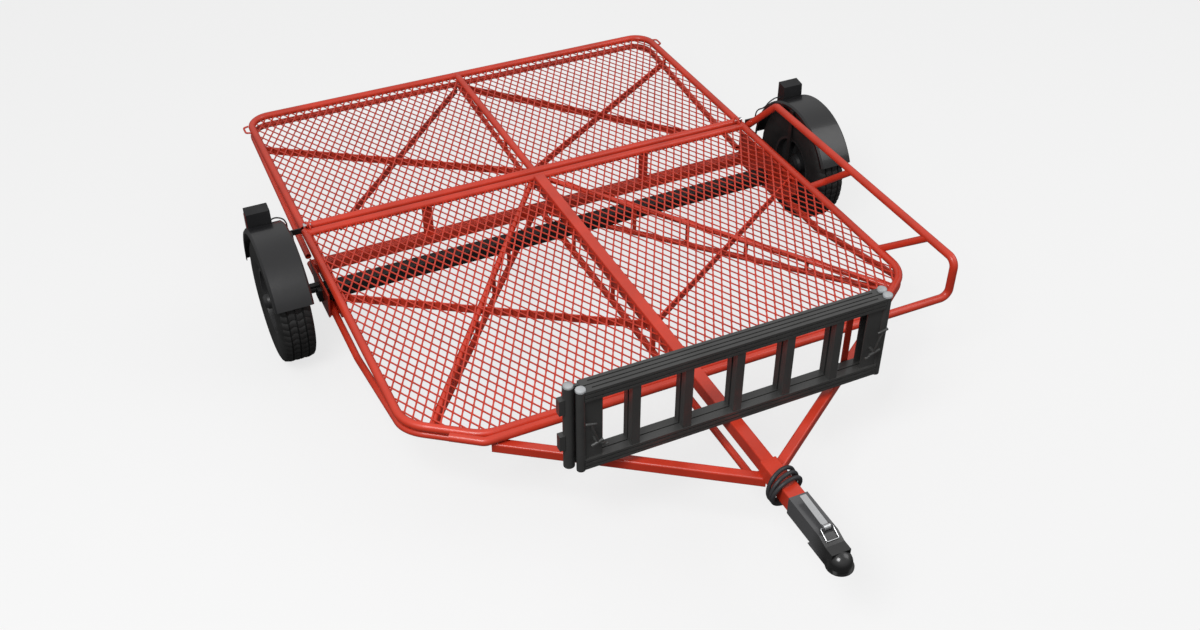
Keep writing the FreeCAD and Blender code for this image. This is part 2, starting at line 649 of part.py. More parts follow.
def tail_light(side, sign):
    """Light housing on its fender, with the lens on the rear face and the outer side."""
    corner = light_frame(sign)
    width, height, depth = dim("light_width"), dim("light_height"), dim("light_depth")
    y0, z0 = corner.y, corner.z
    case_line = [(corner.x, y0, z0), (corner.x, y0 + depth, z0), (corner.x, y0 + depth, z0 + height),
                 (corner.x, y0 + 6, z0 + height - 6)]
    case = plate(f"{side}_light_case", case_line, X, "light_width")
    lens_depth = 14
    lens = box(f"{side}_lens_block", Vector(corner.x + 4, y0 + depth - lens_depth, z0 + 8),
               Length="light_width - 8", Width="light_depth", Height="light_height - 14")
    side_x = corner.x + (width - 8 if sign > 0 else -2)
    wrap = box(f"{side}_lens_wrap", Vector(side_x, y0 + 16, z0 + 22), Height="light_height - 38")
    wrap.Length = 10
    wrap.Width = depth - 20
    rear_cut = box(f"{side}_lens_trim", Vector(corner.x - 20, y0 + depth + 4, z0 - 20))
    rear_cut.Length, rear_cut.Width, rear_cut.Height = width + 40, 80, height + 60
    arch = cylinder(f"{side}_light_seat", Vector(corner.x - 30, -dim("wheel_y"), -dim("wheel_drop")),
                    Vector(corner.x + width + 30, -dim("wheel_y"), -dim("wheel_drop")), "fender_radius + 0.2")
    lens_solid = coped(f"{side}_lens", fuse(f"{side}_lens_parts", [lens, wrap]), [rear_cut, arch])
    housing = coped(f"{side}_light", case, [lens_solid, arch])
    node(housing, f"{side}_light_housing")
    node(group(f"{side}_lens_copy", [lens_solid]), f"{side}_light_lens")


# ---------------------------------------------------------------- coupler

NOSE_TOP = BEAM_MID + dim("sleeve_height") / 2 + dim("coupler_wall") + 0.3
NOSE_LOW = BEAM_MID - dim("sleeve_height") / 2 - 1
SOCKET = -dim("socket_y")
HEAD_TOP = NOSE_TOP - 11


def side_profile(name, drop, width, back, low):
    """Long block of the coupler seen from the side, sloping down to its head."""
    start = -dim("coupler_start") + back
    outline = [(-width / 2, start, low), (-width / 2, start, NOSE_TOP - drop),
               (-width / 2, SOCKET + 62, NOSE_TOP - drop), (-width / 2, SOCKET + 30, HEAD_TOP - drop),
               (-width / 2, SOCKET, HEAD_TOP - drop), (-width / 2, SOCKET, low)]
    outline = [Vector(*p) for p in outline]
    return feature(name, Part.Face(Part.makePolygon(outline + outline[:1])).extrude(Vector(width, 0, 0)))


def disc(name, radius, low, height, at_y=SOCKET):
    """Upright cylinder on the ball's axis."""
    obj = doc.addObject("Part::Cylinder", name)
    bind(obj, Radius=radius)
    obj.Height = height
    obj.Placement.Base = Vector(0, at_y, low)
    return obj


def ball(name, radius, z):
    obj = doc.addObject("Part::Sphere", name)
    bind(obj, Radius=radius)
    obj.Placement.Base = Vector(0, SOCKET, z)
    return obj


def coupler():
    """Pressed ball coupler: channel body with flange, ball socket and the ears of its latch."""
    width, wall = dim("coupler_width"), dim("coupler_wall")
    shell = "ball_radius + 1 + 2 * coupler_wall"
    outer = side_profile("coupler_block", 0, width, 0, NOSE_LOW)
    hollow = side_profile("coupler_hollow", wall, width - 2 * wall, 1, NOSE_LOW - 20)
    flange = box("coupler_flange", Vector(-width / 2 - 5, SOCKET, NOSE_LOW - 3), Height="coupler_wall")
    flange.Length = width + 10
    flange.Width = 96
    bend = HEAD_TOP - 32.4
    channel = cut("coupler_channel", fuse("coupler_pressing", [outer, flange]), hollow)
    parts = [channel, disc("coupler_neck", shell, NOSE_LOW - 3, bend - NOSE_LOW + 3),
             ball("coupler_cap", shell, bend), disc("coupler_rim", shell + " + 5", NOSE_LOW - 3, 3)]
    parts += latch_ears()
    below = box("coupler_below", Vector(-80, SOCKET - 60, NOSE_LOW - 63), Height="flat_thickness * 12")
    below.Length, below.Width = 160, 120
    middle = NOSE_LOW + 13
    tools = [below, ball("ball_space", "ball_radius + 1", middle),
             disc("ball_throat", "ball_radius + 1", NOSE_LOW - 20, 33)]
    tools += [cylinder(f"bail_hole{i}", PIVOT + X * sign * 10, PIVOT + X * sign * 20, "wire_radius - 0.7")
              for i, sign in enumerate((-1, 1))]
    slot = box("clamp_slot", Vector(-14, SOCKET + 10, NOSE_LOW - 30), Height="stay_width * 3")
    slot.Length, slot.Width = 28, 80
    under = cut("clamp_way", slot, side_profile("coupler_skin", -60, 200, 0, HEAD_TOP - 6))
    node(coped("coupler_shell", fuse("coupler_blank", parts), tools + [under]), "coupler_body")
    coupler_bolts()
    latch()


def coupler_bolts():
    """Hexagon heads of the two cross bolts that clamp the coupler to the nose."""
    bolts = []
    for number, y in enumerate((-1768, -1788)):
        spot = Vector(0, y, BEAM_MID + (10 if number else -10))
        seat = spot + X * (dim("coupler_width") / 2 + 0.1)
        head = doc.addObject("Part::Prism", f"coupler_bolt{number}_head")
        head.Polygon = 6
        head.Circumradius = 9
        head.Height = 7
        head.Placement = along(seat, seat + X)
        bolts.append(head)
    node(group("coupler_bolts", bolts), "coupler_bolts")


PIVOT = Vector(0, SOCKET + 74, NOSE_TOP + 9.3)


def latch_ears():
    """Two upright ears with the pin that the latch lever turns on."""
    parts = [cylinder("latch_pin", PIVOT - X * 13, PIVOT + X * 13, "hinge_pin")]
    for sign in (-1, 1):
        near = 10.6 if sign > 0 else -13.6
        rim = [(near, PIVOT.y - 12, NOSE_TOP - 1), (near, PIVOT.y - 8, PIVOT.z + 8), (near, PIVOT.y + 8, PIVOT.z + 8),
               (near, PIVOT.y + 14, NOSE_TOP - 1)]
        parts.append(plate(f"latch_ear{sign + 1}", rim, X, "coupler_wall"))
    return parts


def latch():
    """Latch lever on top of the coupler, the ball clamp it drives and the wire bail on the same axis."""
    y, z = PIVOT.y, PIVOT.z
    arm = rounded("lever_arm", rect_bar("lever_bar", (0, y - 2, z + 1), (0, y + 112, z + 7),
                                        "stay_width", "flat_thickness"), 2.0)
    eye = cylinder("lever_eye", PIVOT - X * 10, PIVOT + X * 10, "hinge_pin + 3")
    hole = cylinder("lever_hole", PIVOT - X * 20, PIVOT + X * 20, "hinge_pin + 0.05")
    node(cut("lever", fuse("lever_blank", [arm, eye]), hole), "latch_lever")
    clamp = box("clamp", Vector(-10, SOCKET + 28, NOSE_LOW + 3), Length="stay_width")
    clamp.Width, clamp.Height = 22, 20
    node(clamp, "ball_clamp")
    run = [(11.2, y, z), (18, y, z), (18, y - 34, HEAD_TOP + 6.5)]
    run += [(-x, by, bz) for x, by, bz in reversed(run)]
    node(bent_bar("bail", run, 3.5, "wire_radius - 1"), "safety_bail")


# ---------------------------------------------------------------- ramps

def ramp(label, y_front, left_post, left_radius):
    """Loading ramp on its side: two grooved rails, five rungs, end plates and round end posts."""
    half, depth = dim("ramp_half"), dim("ramp_depth")
    low, rail = dim("ramp_bottom"), dim("ramp_rail")
    high = low + dim("ramp_height")
    inner = half - 20
    parts = []
    for name, z0 in (("bottom", low), ("top", high - rail)):
        bar = box(f"{label}_{name}_rail", Vector(-inner, y_front, z0), Width="ramp_depth", Height="ramp_rail")
        bar.Length = 2 * inner
        for number, share in enumerate((0.3, 0.7)):
            groove = box(f"{label}_{name}_groove{number}",
                         Vector(-inner - 1, y_front - 1, z0 + rail * share - 2.5), Height="flat_thickness")
            groove.Length, groove.Width = 2 * inner + 2, 4
            bar = cut(f"{label}_{name}_rail_cut{number}", bar, groove)
        parts.append(bar)
    channel = box(f"{label}_channel", Vector(-inner + 24, y_front + depth / 2 - 2.5, high - 3),
                  Width="flat_thickness", Height="flat_thickness")
    channel.Length = 2 * inner - 48
    parts[-1] = cut(f"{label}_top_open", parts[-1], channel)
    for number in range(-2, 3):
        rung = box(f"{label}_rung{number + 2}", Vector(156 * number - dim("rung_width") / 2, y_front + 2, low + rail),
                   Length="rung_width", Height="ramp_height - 2 * ramp_rail")
        rung.Width = depth - 4
        parts.append(rung)
    for sign, post_x, post_radius in ((-1, -left_post, left_radius), (1, half - 12, "ramp_depth / 2")):
        end = box(f"{label}_end{sign + 1}", Vector(min(sign * 408, sign * inner), y_front + 8, low + rail - 1),
                  Height="ramp_height - 2 * ramp_rail + 2")
        end.Length, end.Width = inner - 408, 5
        post = cylinder(f"{label}_post{sign + 1}", Vector(post_x, y_front + depth / 2, low - 5),
                        Vector(post_x, y_front + depth / 2, high), post_radius)
        spacer = box(f"{label}_spacer{sign + 1}", Vector(min(post_x, sign * inner), y_front + 8, low + 1),
                     Height="ramp_height - 2")
        spacer.Length, spacer.Width = abs(abs(post_x) - inner), 9
        parts += [end, post, spacer]
    frame = fuse(label + "_frame", parts)
    holes = [cylinder(f"{label}_hole{i}", Vector(sign * 432, y_front - 5, 118), Vector(sign * 432, y_front + 40, 118),
                      "hinge_pin + 0.05") for i, sign in enumerate((-1, 1))]
    node(coped(f"{label}_drilled", frame, holes), label)
    return [Vector(-left_post, y_front + depth / 2, high), Vector(half - 12, y_front + depth / 2, high)]


def ramp_set():
    """Both ramps, their post caps and blocks, the locking pins and the uprights they lean on."""
    front, pitch = -dim("ramp_front"), dim("ramp_pitch")
    tops = ramp("front_ramp", front, dim("ramp_half") - 12, "ramp_depth / 2")
    tops += ramp("rear_ramp", front + pitch, dim("ramp_half") + 10, "post_width / 2 - 2")
    caps = []
    for number, spot in enumerate(tops):
        skirt = doc.addObject("Part::Cylinder", f"cap_skirt{number}")
        bind(skirt, Radius="ramp_depth / 2 + 1.7")
        skirt.Height = 4
        skirt.Placement.Base = spot
        dome = doc.addObject("Part::Ellipsoid", f"cap_dome{number}")
        dome.Radius1 = 6
        dome.Radius2 = dim("ramp_depth") / 2 + 1.7
        dome.Radius3 = dome.Radius2
        dome.Angle1 = 0
        dome.Placement.Base = spot + Z * 4
        caps.append(fuse(f"cap{number}", [skirt, dome]))
    node(group("ramp_caps", caps), "ramp_caps")
    blocks = [box(f"hinge_block{i}", Vector(-dim("ramp_half") - 40, front + pitch + 2, z), Length="stay_width - 4",
                  Width="stay_width", Height="post_width + 14") for i, z in enumerate((80, 205))]
    node(cut("blocks", group("block_pair", blocks), doc.getObject("rear_ramp_post0")), "ramp_blocks")
    for side, sign in SIDES.items():
        x = sign * 432
        shank = cylinder(f"{side}_lock_shank", Vector(x, front - 14, 118), Vector(x, front + pitch + 20, 118),
                         "hinge_pin")
        grip = cylinder(f"{side}_lock_grip", Vector(x - 17, front - 14, 112), Vector(x + 17, front - 14, 124),
                        "hinge_pin")
        node(fuse(f"{side}_lock_pin_set", [shank, grip]), f"{side}_lock_pin")
    uprights = []
    for side, sign in SIDES.items():
        x, y = sign * 392, front + 2 * pitch + 6
        bar = rect_bar(f"{side}_upright_bar", (x, y, -dim("leg_depth") + 10), (x, y, 250), "stay_width",
                       "flat_thickness")
        uprights.append(cut(f"{side}_upright", bar, doc.getObject(f"{side}_leg_outer")))
    node(group("ramp_uprights", uprights), "ramp_uprights")


# ---------------------------------------------------------------- cables

COIL_Y = (-1650, -1722)
LIGHT_WIRE = [(954.5, -80, 124), (943, -77, 130), (913, -72, 114), (903, -58, 82), (896, -12, 52), (896, -12, 20.2)]


def cord(label, points, radius):
    """Free cable along its hand-laid route, its volume compared with its length."""
    wire, radii = wire_path(points, 0, largest=True)
    path = feature(label + "_path", wire)
    tube = sweep(label + "_tube", path, radius)
    cord_report.append((label, wire.Length, radii, tube))
    return tube


def coil_envelope():
    """Outer shape of the cable's loose turns round the tongue sleeve."""
    y_rear, y_front = COIL_Y
    middle = Vector(0, y_rear, BEAM_MID - 4.6)
    outer = cylinder("coil_outer", middle, Vector(0, y_front, middle.z), "coil_radius + 2 * cable_radius")
    inner = cylinder("coil_inner", middle + Vector(0, 5, 0), Vector(0, y_front - 5, middle.z),
                     "coil_radius - cable_radius")
    node(cut("cable_coil", outer, inner), "cable_coil")


def light_wires():
    """Short wires from each light's base down behind its fender."""
    for side, sign in SIDES.items():
        points = [(sign * x, y, z) for x, y, z in LIGHT_WIRE]
        node(cord(f"{side}_light_wire", points, "wire_radius"), f"{side}_light_wire")


def report_cords():
    """Print each cable's length, tightest bend and volume check."""
    for label, length, radii, tube in cord_report:
        section = tube.Shape.Volume / length
        print(f"{label}: length {length:.1f} mm, radii {[round(r, 1) for r in radii]}, area {section:.2f} mm2")


# ---------------------------------------------------------------- assembly

upper_outer, lower_outer, fold_bar_outer = front_frame()
chord_outer = cross_chord(lower_outer)
spine_and_tongue()
tongue_legs(lower_outer)
for side_name, side_sign in SIDES.items():
    corner_truss(side_name, side_sign, [upper_outer, lower_outer, chord_outer, fold_bar_outer])
front_braces()
rear_frame()
mesh_panels()
corner_loops()
fold_hinge()
guard_outer = guard_rail(upper_outer)
axle()
for side_name, side_sign in SIDES.items():
    axle_hanger(side_name, side_sign, [upper_outer, lower_outer, chord_outer])
    wheel(side_name, side_sign)
    fender(side_name, side_sign)
    tail_light(side_name, side_sign)
fender_stays(guard_outer)
coupler()
ramp_set()
coil_envelope()
light_wires()
doc.recompute()
report_cords()

for item in doc.Objects:
    bad = [state for state in item.State if state in ("Invalid", "Error")]
    if bad:
        raise SystemExit(f"{item.Name} failed: {bad}")
os.makedirs("parts", exist_ok=True)
total = FreeCAD.BoundBox()
for item in nodes:
    if item.Shape.isNull() or not item.Shape.isValid() or not item.Shape.Solids:
        raise SystemExit(f"{item.Label} has no valid solid")
    item.Shape.exportStep(f"parts/{item.Label}.step")
    total.add(item.Shape.BoundBox)
print(f"{len(nodes)} nodes, box {total}")
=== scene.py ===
import json
import math

import bpy
from mathutils import Matrix, Vector
from mathutils.geometry import convex_hull_2d


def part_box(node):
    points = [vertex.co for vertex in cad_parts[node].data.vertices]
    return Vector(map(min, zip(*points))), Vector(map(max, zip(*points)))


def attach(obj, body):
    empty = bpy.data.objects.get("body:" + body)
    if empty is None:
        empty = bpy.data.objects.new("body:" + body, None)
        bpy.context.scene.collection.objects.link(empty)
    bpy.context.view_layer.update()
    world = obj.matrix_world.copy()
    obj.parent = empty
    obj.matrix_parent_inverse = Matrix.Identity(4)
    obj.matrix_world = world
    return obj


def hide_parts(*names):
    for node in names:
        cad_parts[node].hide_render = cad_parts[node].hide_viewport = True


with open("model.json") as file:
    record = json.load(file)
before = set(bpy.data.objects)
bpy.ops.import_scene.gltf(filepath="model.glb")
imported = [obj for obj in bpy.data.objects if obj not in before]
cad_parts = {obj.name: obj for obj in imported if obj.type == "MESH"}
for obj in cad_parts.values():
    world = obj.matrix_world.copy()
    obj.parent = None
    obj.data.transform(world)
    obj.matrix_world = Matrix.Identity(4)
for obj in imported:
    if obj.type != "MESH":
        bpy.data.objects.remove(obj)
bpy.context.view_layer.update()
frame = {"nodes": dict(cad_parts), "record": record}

SIDES = {"left": -1, "right": 1}


# ---------------------------------------------------------------- places read from the frame

def middle(node):
    low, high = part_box(node)
    return (Vector(low) + Vector(high)) / 2


FOLD_Y = (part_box("front_fold_bar")[1][1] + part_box("rear_fold_bar")[0][1]) / 2
DECK_Z = middle("front_fold_bar").z


def deck(x, y, z):
    """Point given in millimetres from the fold line at the height of the deck rails."""
    return Vector((x / 1000, FOLD_Y + y / 1000, DECK_Z + z / 1000))


# ---------------------------------------------------------------- camera

def make_camera():
    """Camera at the photograph's viewing angle."""
    azimuth, elevation, roll = math.radians(-25.25), math.radians(38.41), math.radians(0.18)
    aim = Vector((-math.sin(azimuth) * math.cos(elevation), math.cos(azimuth) * math.cos(elevation),
                  -math.sin(elevation)))
    data = bpy.data.cameras.new("camera")
    data.sensor_width = 36
    data.lens = 38.89
    data.clip_end = 100
    camera = bpy.data.objects.new("camera", data)
    camera.location = deck(-1469, -3657, 2478)
    turn = aim.to_track_quat("-Z", "Y").to_matrix() @ Matrix.Rotation(roll, 3, "Z")
    camera.rotation_euler = turn.to_euler()
    bpy.context.scene.collection.objects.link(camera)
    bpy.context.scene.camera = camera


make_camera()


# ---------------------------------------------------------------- making pieces

def link(name, data):
    obj = bpy.data.objects.new(name, data)
    bpy.context.scene.collection.objects.link(obj)
    return obj


def mesh_piece(name, verts, faces, material, body, smooth=True):
    mesh = bpy.data.meshes.new(name)
    mesh.from_pydata([tuple(v) for v in verts], [], faces)
    mesh.validate()
    mesh.update()
    if smooth:
        mesh.shade_smooth()
    mesh.materials.append(material)
    obj = link(name, mesh)
    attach(obj, body)
    return obj


def spline_piece(name, points, radius, material, body, cyclic=False):
    """Round cord or wire along one smooth spline through given control points."""
    data = bpy.data.curves.new(name, "CURVE")
    data.dimensions = "3D"
    data.bevel_depth = radius
    data.bevel_resolution = 6
    data.use_fill_caps = True
    spline = data.splines.new("NURBS")
    spline.points.add(len(points) - 1)
    for point, place in zip(spline.points, points):
        point.co = (*place, 1)
    spline.use_cyclic_u = cyclic
    spline.order_u = 3
    spline.use_endpoint_u = not cyclic
    spline.resolution_u = 10
    data.materials.append(material)
    obj = link(name, data)
    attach(obj, body)
    return obj


def curve_length(obj):
    """Length of a curve's own line."""
    depth = obj.data.bevel_depth
    obj.data.bevel_depth = 0
    bpy.context.view_layer.update()
    line = bpy.data.meshes.new_from_object(obj.evaluated_get(bpy.context.evaluated_depsgraph_get()))
    places = [vertex.co for vertex in line.vertices]
    total = sum((places[a] - places[b]).length for a, b in (edge.vertices for edge in line.edges))
    bpy.data.meshes.remove(line)
    obj.data.bevel_depth = depth
    return total


# ---------------------------------------------------------------- materials

def new_material(name, colour, roughness, metallic=0.0, specular=0.5, coat=0.0, coat_roughness=0.1):
    """Principled material with its constants set on the shader's sockets."""
    material = bpy.data.materials.new(name)
    material.use_nodes = True
    shader = material.node_tree.nodes["Principled BSDF"]
    shader.inputs["Base Color"].default_value = (*colour, 1)
    shader.inputs["Roughness"].default_value = roughness
    shader.inputs["Metallic"].default_value = metallic
    shader.inputs["Specular IOR Level"].default_value = specular
    shader.inputs["Coat Weight"].default_value = coat
    shader.inputs["Coat Roughness"].default_value = coat_roughness
    return material


def noise(material, scale, detail=4.0, stretch=(1, 1, 1)):
    tree = material.node_tree
    place = tree.nodes.new("ShaderNodeTexCoord")
    mapping = tree.nodes.new("ShaderNodeMapping")
    mapping.inputs["Scale"].default_value = stretch
    texture = tree.nodes.new("ShaderNodeTexNoise")
    texture.inputs["Scale"].default_value = scale
    texture.inputs["Detail"].default_value = detail
    tree.links.new(place.outputs["Object"], mapping.inputs["Vector"])
    tree.links.new(mapping.outputs["Vector"], texture.inputs["Vector"])
    return texture.outputs["Fac"]


def ramp_colours(material, fac, stops):
    """Colour ramp over a texture; stops are (position, colour)."""
    ramp = material.node_tree.nodes.new("ShaderNodeValToRGB")
    elements = ramp.color_ramp.elements
    while len(elements) < len(stops):
        elements.new(0.5)
    for element, (position, colour) in zip(elements, stops):
        element.position = position
        element.color = (*colour, 1)
    material.node_tree.links.new(fac, ramp.inputs["Fac"])
    return ramp.outputs["Color"]


def vary_colour(material, fac, low, high):
    colour = ramp_colours(material, fac, [(0.3, low), (0.7, high)])
    shader = material.node_tree.nodes["Principled BSDF"]
    material.node_tree.links.new(colour, shader.inputs["Base Color"])


def vary_roughness(material, fac, low, high):
    tree = material.node_tree
    spread = tree.nodes.new("ShaderNodeMapRange")
    spread.inputs["To Min"].default_value = low
    spread.inputs["To Max"].default_value = high
    tree.links.new(fac, spread.inputs["Value"])
    tree.links.new(spread.outputs["Result"], tree.nodes["Principled BSDF"].inputs["Roughness"])


def add_bump(material, fac, strength, distance):
    tree = material.node_tree
    bump = tree.nodes.new("ShaderNodeBump")
    bump.inputs["Strength"].default_value = strength
    bump.inputs["Distance"].default_value = distance
    tree.links.new(fac, bump.inputs["Height"])
    tree.links.new(bump.outputs["Normal"], tree.nodes["Principled BSDF"].inputs["Normal"])


def tint(colour, factor):
    return tuple(min(1.0, c * factor) for c in colour)


def paint(name, colour, roughness, coat=0.0, peel=0.12):
    """Sprayed or powder coat: faint tone shifts, uneven gloss and a fine orange-peel bump."""
    material = new_material(name, colour, roughness, coat=coat)
    cloud = noise(material, 9.0, 5.0)
    vary_colour(material, cloud, tint(colour, 0.86), tint(colour, 1.1))
    vary_roughness(material, noise(material, 34.0, 3.0), roughness * 0.85, roughness * 1.25)
    add_bump(material, noise(material, 900.0, 2.0), peel, 0.0006)
    return material


def rubber(name, colour, roughness, grain):
    material = new_material(name, colour, roughness, specular=0.35)
    vary_colour(material, noise(material, 22.0, 5.0), tint(colour, 0.8), tint(colour, 1.3))
    vary_roughness(material, noise(material, 60.0, 3.0), roughness * 0.85, min(1.0, roughness * 1.15))
    add_bump(material, noise(material, grain, 4.0), 0.25, 0.0008)
    return material


def bright_metal(name, colour, roughness, brushed=(1, 1, 1)):
    material = new_material(name, colour, roughness, metallic=1.0)
    vary_colour(material, noise(material, 40.0, 3.0), tint(colour, 0.95), tint(colour, 1.03))
    vary_roughness(material, noise(material, 220.0, 4.0, brushed), roughness * 0.85, roughness * 1.2)
    add_bump(material, noise(material, 420.0, 4.0, brushed), 0.03, 0.0003)
    return material


def two_tone(material, rear, head, start, end):
    """Colour that runs from one tone to another along the piece."""
    tree = material.node_tree
    place = tree.nodes.new("ShaderNodeTexCoord")
    split = tree.nodes.new("ShaderNodeSeparateXYZ")
    spread = tree.nodes.new("ShaderNodeMapRange")
    spread.inputs["From Min"].default_value = start
    spread.inputs["From Max"].default_value = end
    tree.links.new(place.outputs["Object"], split.inputs["Vector"])
    tree.links.new(split.outputs["Y"], spread.inputs["Value"])
    colour = ramp_colours(material, spread.outputs["Result"], [(0.0, head), (1.0, rear)])
    tree.links.new(colour, tree.nodes["Principled BSDF"].inputs["Base Color"])


def lens_material():
    """Moulded red lens: glossy coat over fine vertical flutes."""
    material = new_material("light_lens", (0.13, 0.006, 0.008), 0.12, specular=0.6, coat=0.6,
                            coat_roughness=0.05)
    tree = material.node_tree
    place = tree.nodes.new("ShaderNodeTexCoord")
    wave = tree.nodes.new("ShaderNodeTexWave")
    wave.inputs["Scale"].default_value = 90.0
    tree.links.new(place.outputs["Object"], wave.inputs["Vector"])
    vary_colour(material, noise(material, 30.0, 3.0), (0.10, 0.004, 0.006), (0.17, 0.008, 0.010))
    add_bump(material, wave.outputs["Fac"], 0.35, 0.0008)
    return material


RED = (0.57, 0.040, 0.017)
MATERIALS = {
    "red_paint": paint("red_paint", RED, 0.33, coat=0.15),
    "red_mesh": paint("red_mesh", tint(RED, 0.96), 0.38, coat=0.15),
    "black_steel": paint("black_steel", (0.012, 0.012, 0.012), 0.4),
    "fender_black": paint("fender_black", (0.008, 0.008, 0.009), 0.3, coat=0.4, peel=0.05),
    "light_case": rubber("light_case", (0.012, 0.012, 0.013), 0.45, 1500.0),
    "light_lens": lens_material(),
    "cable_black": rubber("cable_black", (0.034, 0.034, 0.037), 0.42, 1200.0),
    "coupler_grey": paint("coupler_grey", (0.045, 0.045, 0.047), 0.24, coat=0.5, peel=0.06),
    "bright_zinc": bright_metal("bright_zinc", (0.72, 0.73, 0.74), 0.24, (1, 6, 1)),
    "forged_steel": bright_metal("forged_steel", (0.2, 0.2, 0.2), 0.5),
    "ramp_black": paint("ramp_black", (0.045, 0.045, 0.044), 0.38, coat=0.2),
    "cap_grey": rubber("cap_grey", (0.33, 0.34, 0.35), 0.4, 1500.0),
    "tyre_rubber": rubber("tyre_rubber", (0.014, 0.014, 0.014), 0.62, 900.0),
    "rim_black": paint("rim_black", (0.02, 0.02, 0.021), 0.36, coat=0.2),
    "hub_black": paint("hub_black", (0.018, 0.018, 0.019), 0.42),
}


RIM_REACH = 0.037
# The lighter grey towards the rear of the coupler is a painted reflection of light on its glossy black paint;
# the black head is its own colour.
REAR_PAINTED_SHEEN_GREY, HEAD_BLACK = (0.075, 0.075, 0.078), (0.012, 0.012, 0.012)
socket_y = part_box("coupler_body")[0][1] + RIM_REACH
two_tone(MATERIALS["coupler_grey"], REAR_PAINTED_SHEEN_GREY, HEAD_BLACK, socket_y + 0.03, socket_y + 0.09)

EASED = {
    "coupler_body": 0.0022, "latch_lever": 0.0012, "coupler_bolts": 0.001, "ramp_blocks": 0.002,
    "front_ramp": 0.0012, "rear_ramp": 0.0012, "ramp_uprights": 0.001,
    "front_braces": 0.001, "rear_braces": 0.001, "fender_stays": 0.001,
    "fixed_hinge_lugs": 0.001, "moving_hinge_lugs": 0.001,
}
PAIRED_EASED = {"light_housing": 0.003, "axle_hanger": 0.0012, "lug_nuts": 0.001, "fender": 0.0015}
EASED.update({f"{side}_{kind}": width for side in SIDES for kind, width in PAIRED_EASED.items()})


def ease_edges(obj, width):
    """Small radius on the sharp edges of a pressed, sawn or moulded piece."""
    bevel = obj.modifiers.new("eased", "BEVEL")
    bevel.width = width
    bevel.segments = 3
    bevel.limit_method = "ANGLE"
    bevel.angle_limit = math.radians(40)
    bevel.harden_normals = True


def dress_nodes():
    """Every CAD node takes its slot's material, and the boxy ones eased edges."""
    for part in frame["record"]["subparts"]:
        obj = frame["nodes"][part["node"]]
        obj.data.materials.clear()
        obj.data.materials.append(MATERIALS[part["material_slot"]])
        if part["node"] in EASED:
            ease_edges(obj, EASED[part["node"]])


dress_nodes()

# ---------------------------------------------------------------- cables

CABLE_RADIUS = 0.006
WIRE_RADIUS = 0.0025
LIGHT_WIRE = [(954.5, -80, 124), (943, -77, 130), (913, -72, 114), (903, -58, 82), (896, -12, 52),
              (896, -12, 20.2)]


def cable_coil():
    """Loose turns of the trailer's cable round the tongue, out of it and back into it from below."""
    low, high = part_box("cable_coil")
    axis = middle("cable_coil")
    reach = (high[0] - low[0]) / 2 - CABLE_RADIUS - 0.0006
    span = (high[1] - low[1]) / 2 - CABLE_RADIUS - 0.001
    turns, steps = 3, 16
    points = []
    for step in range(turns * steps + 1):
        share = step / (turns * steps)
        angle = math.radians(-90) + math.tau * turns * share
        lean = 0.35 * math.sin(angle + 0.8 + 2.1 * share)
        swell = 1.0 - 0.05 * (1 + math.cos(3.1 * share * math.tau)) / 2
        y = axis.y + span * max(-1, min(1, 0.75 - 1.5 * share + lean))
        points.append((axis.x + reach * swell * math.cos(angle), y, axis.z + reach * swell * math.sin(angle)))
    piece = spline_piece("tongue_cable", points, CABLE_RADIUS, MATERIALS["cable_black"], "chassis")
    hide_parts("cable_coil")
    curve_length(piece)


def light_wires():
    for side, sign in SIDES.items():
        points = [deck(sign * x, y, z) for x, y, z in LIGHT_WIRE]
        piece = spline_piece(f"{side}_lamp_wire", points, WIRE_RADIUS, MATERIALS["cable_black"], "chassis")
        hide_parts(f"{side}_light_wire")
        curve_length(piece)


cable_coil()
light_wires()

# ---------------------------------------------------------------- expanded metal deck

LONG_WAY, SHORT_WAY = 0.057, 0.031


def clip_line(start, direction, outline):
    """Part of a line inside a convex outline, as the two distances along it."""
    near, far = -1e9, 1e9
    count = len(outline)
    for i in range(count):
        a, b = outline[i], outline[(i + 1) % count]
        edge = b - a
        inward = Vector((-edge.y, edge.x))
        slope = inward.dot(direction)
        gap = inward.dot(start - a)
        if abs(slope) < 1e-12:
            if gap < 0:
                return None
            continue
        cross = -gap / slope
        if slope > 0:
            near = max(near, cross)
        else:
            far = min(far, cross)
    return (near, far) if far - near > 0.004 else None


def panel_outline(node):
    """Convex outline of a deck panel, counter-clockwise."""
    flat = [Vector(v.co[:2]) for v in frame["nodes"][node].data.vertices]
    hull = [flat[i] for i in convex_hull_2d(flat)]
    area = sum(a.x * b.y - b.x * a.y for a, b in zip(hull, hull[1:] + hull[:1]))
    return hull if area > 0 else hull[::-1]


